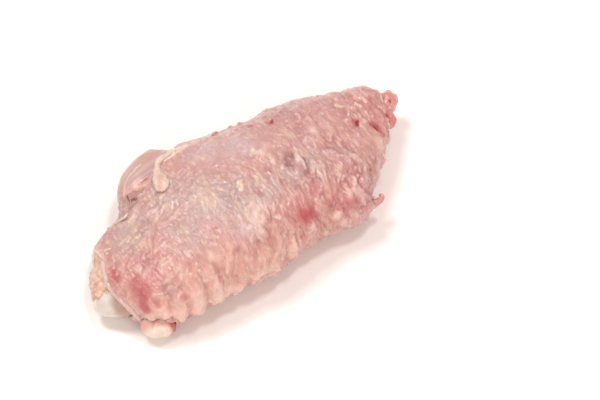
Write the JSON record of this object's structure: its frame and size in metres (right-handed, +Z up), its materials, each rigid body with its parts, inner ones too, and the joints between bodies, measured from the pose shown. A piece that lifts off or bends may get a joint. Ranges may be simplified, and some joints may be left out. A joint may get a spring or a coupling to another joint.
{
  "type": "chicken midwing",
  "caption": "Raw chicken midwing, the flat of a wing, with a sleeve of bumpy skin, bare muscle at the elbow and cut joint ends.",
  "frame": {"origin": "middle of the wing's box, on the surface it lies on", "axes": "+X along the wing from the elbow to the wrist, +Y towards the leading edge, +Z up out of the back"},
  "size_m": [0.0996, 0.0478, 0.0234],
  "materials": {
    "skin": "moist raw poultry skin, satin with wet glints",
    "meat": "moist raw meat",
    "muscle": "wet, fibrous, under a thin clear film",
    "bone": "smooth damp cartilage over bone",
    "joint_fat": "soft grainy fat, damp",
    "gristle": "smooth, wet",
    "fat": "soft, wet sheen"
  },
  "bodies": {
    "root": {"skin": "skin", "meat": "meat", "extensor_muscle": "muscle", "ulna": "bone", "radius": "bone", "elbow_fat": "joint_fat", "elbow_gristle": "gristle", "fat_drop": "fat"}
  },
  "joints": []
}
